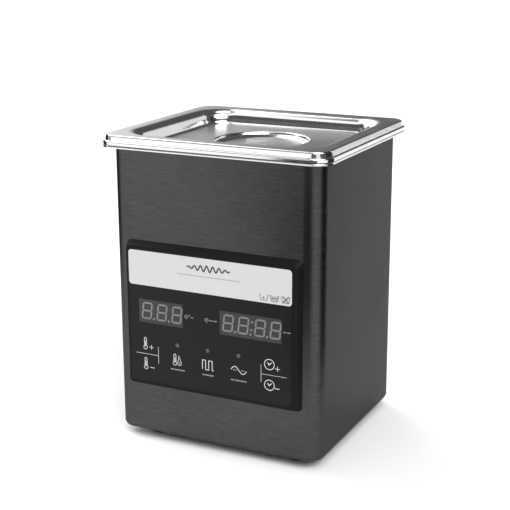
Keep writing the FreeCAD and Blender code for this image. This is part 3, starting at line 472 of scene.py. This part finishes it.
def label_marks():
    """A plain wave emblem, a rule and three care symbols on the pale field."""
    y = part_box("panel_label")[0].y
    wave = []
    for i in range(121):
        t = i / 120
        swell = math.sin(math.pi * t) ** 0.8
        wave.append((-17.2 + 33.4 * t, 128.3 + 2.1 * swell * math.sin(2 * math.pi * 7 * t)))
    raised("label_emblem", stroke(wave, 1.15), y, INK, inks["dark"])
    raised("label_rule", bar(-25.2, 122.2, 23.8, 122.75), y, INK, inks["slate"])
    line = 0.42
    marks = []
    for x in (38.4, 46.3, 54.6):
        marks += stroke([(x, 116.3), (x + 0.9, 112.2), (x + 5.4, 112.2), (x + 6.3, 116.3)], line)
        marks += bar(x - 0.2, 115.9, x + 0.9, 116.3) + bar(x + 5.4, 115.9, x + 6.5, 116.3)
    marks += plus(41.5, 113.9, 0.6, 0.8)
    for step in range(4):
        marks += bar(47.6 + 1.15 * step, 113.0, 47.6 + 1.15 * step + line, 115.6)
    marks += bar(47.2, 114.1, 51.9, 114.4)
    marks += stroke([(55.6, 112), (60, 116.6)], 0.75) + stroke([(55.6, 116.6), (60, 112)], 0.75)
    raised("label_symbols", marks, y, INK, inks["dark"])


# ---------------------------------------------------------------- digit displays
# Millimetres, but for the slant, which is a share of the height.
SEGMENT = 1.25
SEGMENT_GAP = 0.12
DIGIT_WIDTH = 8.2
DIGIT_HEIGHT = 12.6
DOT_RADIUS = 0.85
SEGMENT_RISE = 0.05
SLANT = 0.12


def segment_shapes(x, z, width, height):
    """The seven bars of one digit, leaning to the right, about its centre."""
    half_w, half_h, cut = width / 2, height / 2, SEGMENT / 2

    def pointed(start, end):
        """Outline of a bar with pointed ends, as (along, across) from its line."""
        a, b = start + SEGMENT_GAP, end - SEGMENT_GAP
        return [(a, 0), (a + cut, cut), (b - cut, cut), (b, 0), (b - cut, -cut), (a + cut, -cut)]

    def level(z0):
        return [(along, z0 + across) for along, across in pointed(-half_w + cut, half_w - cut)]

    def upright(x0, z0, z1):
        return [(x0 + across, along) for along, across in pointed(z0, z1)]

    top, low = half_h - cut, -half_h + cut
    right, left = half_w - cut, -half_w + cut
    bars = [level(top), level(0), level(low)]
    bars += [upright(right, 0, top), upright(left, 0, top), upright(right, low, 0), upright(left, low, 0)]
    return [[Vector((x + px + SLANT * pz, z + pz)) for px, pz in shape] for shape in bars]


def display(node, centres, dots):
    """The digits about the given x, and dots as (x, height above the middle)."""
    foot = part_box("housing")[0].z
    low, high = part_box(node)
    middle = ((low.z + high.z) / 2 - foot) / MM + 0.3
    shapes = []
    for x in centres:
        shapes += segment_shapes(x, middle, DIGIT_WIDTH, DIGIT_HEIGHT)
    for x, z in dots:
        shapes.append([Vector(p) for p in arc(x, middle + z, DOT_RADIUS, 0, 360, 16)[:-1]])
    raised(node + "_segments", shapes, low.y, SEGMENT_RISE * MM, inks["segment"])


# ---------------------------------------------------------------- woven basket
def wire_mesh(name, paths, radius, sides=6):
    """Round wires along lists of points, joined in one mesh."""
    form = bmesh.new()
    for path in paths:
        rings = []
        for i, p in enumerate(path):
            before = path[max(i - 1, 0)]
            after = path[min(i + 1, len(path) - 1)]
            along = (after - before).normalized()
            side = along.cross(Vector((0, 0, 1)))
            if side.length < 1e-3:
                side = along.cross(Vector((0, 1, 0)))
            side.normalize()
            up = side.cross(along)
            ring = []
            for k in range(sides):
                a = 2 * math.pi * k / sides
                ring.append(form.verts.new(p + (side * math.cos(a) + up * math.sin(a)) * radius))
            rings.append(ring)
        for one, two in zip(rings, rings[1:]):
            for k in range(sides):
                form.faces.new((one[k], one[(k + 1) % sides], two[(k + 1) % sides], two[k]))
        form.faces.new(rings[0])
        form.faces.new(rings[-1])
    return mesh_from(form, name, smooth=True)


WIRE_RADIUS = 0.42 * MM
WIRE_PITCH = 4.6 * MM
FLOOR_BEND = 6 * MM
BASKET_CORNER = 13 * MM
HOOPS = 13
# Wire centres stay this many radii inside the basket's outer faces.
WIRE_INSET = 2.2
# Share of a radius that crossing wires bend up and down.
CRIMP = 0.55
QUARTERS = ((1, 1, 0), (-1, 1, 90), (-1, -1, 180), (1, -1, 270))  # signs of x and y, first angle


def crossing_wires(axis, low, high, half):
    """Wires that run along an axis: down one side, across the floor and up the other side."""
    other = 1 - axis
    reach = half[other] - FLOOR_BEND
    run = half[axis]
    floor_z = low.z + WIRE_INSET * WIRE_RADIUS
    sway = CRIMP * WIRE_RADIUS if axis else -CRIMP * WIRE_RADIUS
    steps = int(2 * (run - FLOOR_BEND) / (WIRE_PITCH / 2))
    down = [(-run, high.z), (-run, low.z + FLOOR_BEND)]
    for k in range(1, 6):
        a = math.pi / 12 * k
        drop = (FLOOR_BEND - WIRE_INSET * WIRE_RADIUS) * math.sin(a)
        down.append((-run + FLOOR_BEND - FLOOR_BEND * math.cos(a), low.z + FLOOR_BEND - drop))
    up = [(-t, z) for t, z in reversed(down)]
    wires = []
    count = int(2 * reach / WIRE_PITCH)
    for i in range(count + 1):
        across = []
        for k in range(steps + 1):
            t = -run + FLOOR_BEND + 2 * (run - FLOOR_BEND) * k / steps
            across.append((t, floor_z + sway * (1 if (k + i) % 2 else -1)))
        wire = []
        for t, z in down + across + up:
            p = Vector((0, 0, z))
            p[axis] = t
            p[other] = -reach + 2 * reach * i / count
            wire.append(p)
        wires.append(wire)
    return wires


def corner_point(half, signs, angle, z):
    """A point on the basket's rounded corner, at an angle in radians from +X."""
    return Vector((
        signs[0] * (half.x - BASKET_CORNER) + BASKET_CORNER * math.cos(angle),
        signs[1] * (half.y - BASKET_CORNER) + BASKET_CORNER * math.sin(angle),
        z,
    ))


def woven_basket():
    """Wires up the sides, crimped where they cross the floor, with level hoops round them."""
    low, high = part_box("basket_mesh")
    centre = (low + high) / 2
    inset = WIRE_INSET * WIRE_RADIUS
    half = Vector((high.x - centre.x - inset, high.y - centre.y - inset))
    paths = crossing_wires(0, low, high, half) + crossing_wires(1, low, high, half)
    for level in range(HOOPS):
        z = low.z + FLOOR_BEND + (high.z - low.z - FLOOR_BEND - 1 * MM) * level / (HOOPS - 1)
        hoop = []
        for sx, sy, start in QUARTERS:
            hoop += [corner_point(half, (sx, sy), math.radians(start + 90 * k / 8), z) for k in range(9)]
        paths.append(hoop + hoop[:1])
    for sx, sy, start in QUARTERS:
        for k in range(1, 6):
            top = corner_point(half, (sx, sy), math.radians(start + 15 * k), high.z)
            paths.append([top, Vector((top.x, top.y, low.z + FLOOR_BEND))])
    mesh = wire_mesh("woven_basket", paths, WIRE_RADIUS)
    basket = piece("woven_basket", mesh, looks["basket_steel"], "basket")
    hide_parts("basket_mesh")


# ---------------------------------------------------------------- studio
# Directions are seen from the object: azimuth 0 is straight in front, 90 is to its right.
SOFTBOXES = (
    # azimuth, half width, elevation, half height (degrees), brightness, softness (degrees)
    (249, 30, 9, 20, 1.75, 16),
    (150, 11, 16, 13, 0.9, 4),
    (-60, 60, 57, 7, 1.35, 4),
    (46, 34, 44, 12, 7.0, 6),
    (250, 28, 46, 10, 3.5, 6),
    (-30, 26, 4, 9, 1.4, 4),
    (40, 10, 4, 12, 1.0, 6),
    (0, 180, 90, 14, 3.0, 5),
)
FLAGS = (
    # azimuth (degrees), distance, width, height (metres)
    (13, 0.30, 0.27, 0.19),
    (98, 0.24, 0.20, 0.42),
    (-98, 0.50, 0.50, 0.42),
)
# The room's own brightness between the boxes.
DIM = 0.10
# Metres.
FLOOR_SIZE = 30


def toward(azimuth, elevation=0.0):
    a, e = math.radians(azimuth), math.radians(elevation)
    return Vector((math.sin(a) * math.cos(e), -math.cos(a) * math.cos(e), math.sin(e)))


def stage_plane(name, width, height, material):
    form = bmesh.new()
    x, y = width / 2, height / 2
    form.faces.new([form.verts.new((sx * x, sy * y, 0)) for sx, sy in ((-1, -1), (1, -1), (1, 1), (-1, 1))])
    plane = bpy.data.objects.new(name, mesh_from(form, name))
    bpy.context.scene.collection.objects.link(plane)
    plane.data.materials.append(material)
    return plane


def floor():
    white = Graph("studio_floor", gray(0.86), roughness=0.9)
    cloud = white.noise((2, 2, 2), detail=2)
    white.color(white.shade(white.spread(cloud, 0, 1), gray(0.855), gray(0.865)))
    stage_plane("floor", FLOOR_SIZE, FLOOR_SIZE, white.material)


def flags():
    """Black cards that darken reflections and are not seen themselves."""
    black = Graph("studio_flag", gray(0.01), roughness=0.95).material
    for index, (azimuth, distance, width, height) in enumerate(FLAGS):
        card = stage_plane(f"flag_{index + 1}", width, height, black)
        card.location = toward(azimuth) * distance + Vector((0, 0, height / 2))
        card.rotation_euler = toward(azimuth).to_track_quat("Z", "Y").to_euler()
        card.visible_camera = False
        card.visible_diffuse = False
        card.visible_shadow = False


def dome():
    """A dim room with soft white boxes, laid out by azimuth and elevation."""
    world = bpy.data.worlds.new("studio")
    bpy.context.scene.world = world
    world.use_nodes = True
    tree = world.node_tree

    def link(value, node, socket):
        if isinstance(value, bpy.types.NodeSocket):
            tree.links.new(value, node.inputs[socket])
        else:
            node.inputs[socket].default_value = value

    def compute(operation, *values):
        node = tree.nodes.new("ShaderNodeMath")
        node.operation = operation
        for socket, value in enumerate(values):
            link(value, node, socket)
        return node.outputs[0]

    def fade(value, edge, softness):
        node = tree.nodes.new("ShaderNodeMapRange")
        node.interpolation_type = "SMOOTHSTEP"
        for socket, amount in enumerate((value, edge + softness, edge, 0, 1)):
            link(amount, node, socket)
        return node.outputs[0]

    split = tree.nodes.new("ShaderNodeSeparateXYZ")
    tree.links.new(tree.nodes.new("ShaderNodeTexCoord").outputs["Generated"], split.inputs[0])
    x, y, z = split.outputs
    azimuth = compute("DEGREES", compute("ARCTAN2", x, compute("MULTIPLY", y, -1.0)))
    elevation = compute("DEGREES", compute("ARCSINE", z))
    light = DIM
    for middle, half_width, height, half_height, brightness, softness in SOFTBOXES:
        aside = compute("ABSOLUTE", compute("WRAP", compute("SUBTRACT", azimuth, middle), 180.0, -180.0))
        above = compute("ABSOLUTE", compute("SUBTRACT", elevation, height))
        box = compute("MULTIPLY", fade(aside, half_width, softness), fade(above, half_height, softness))
        light = compute("ADD", light, compute("MULTIPLY", box, brightness))
    sky = tree.nodes["Background"]
    tree.links.new(light, sky.inputs["Strength"])
    sky.inputs["Color"].default_value = (1, 1, 1, 1)


def camera():
    """In front, to the right and a little above, aimed at the middle of the housing."""
    azimuth, elevation, roll = 26.27, 15.49, math.radians(-0.22)
    distance, beside, above = 0.91497, -0.0032, 0.1148
    back = toward(azimuth, elevation)
    level = toward(azimuth + 90)
    across = math.cos(roll) * level + math.sin(roll) * back.cross(level)
    upward = back.cross(across)
    lens = bpy.data.cameras.new("camera")
    lens.sensor_width = 36
    lens.lens = 84.4
    view = bpy.data.objects.new("camera", lens)
    bpy.context.scene.collection.objects.link(view)
    foot = Vector((0, 0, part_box("housing")[0].z))
    turn = Matrix((across, upward, back)).transposed().to_4x4()
    place = foot + beside * across + above * upward + distance * back
    view.matrix_world = Matrix.Translation(place) @ turn
    bpy.context.scene.camera = view
    bpy.context.scene.view_settings.view_transform = "Standard"


floor()
flags()
dome()
camera()
panel_marks()
label_marks()
display("temperature_display", (-50.1, -38.0, -26.0), [(-44.8, -5.6), (-32.7, -5.6)])
display(
    "timer_display",
    (14.3, 26.0, 38.6, 50.3),
    [(19.5, -5.6), (31.3, -5.6), (43.8, -5.6), (32.7, 3.4), (32.0, -2.4)],
)
woven_basket()
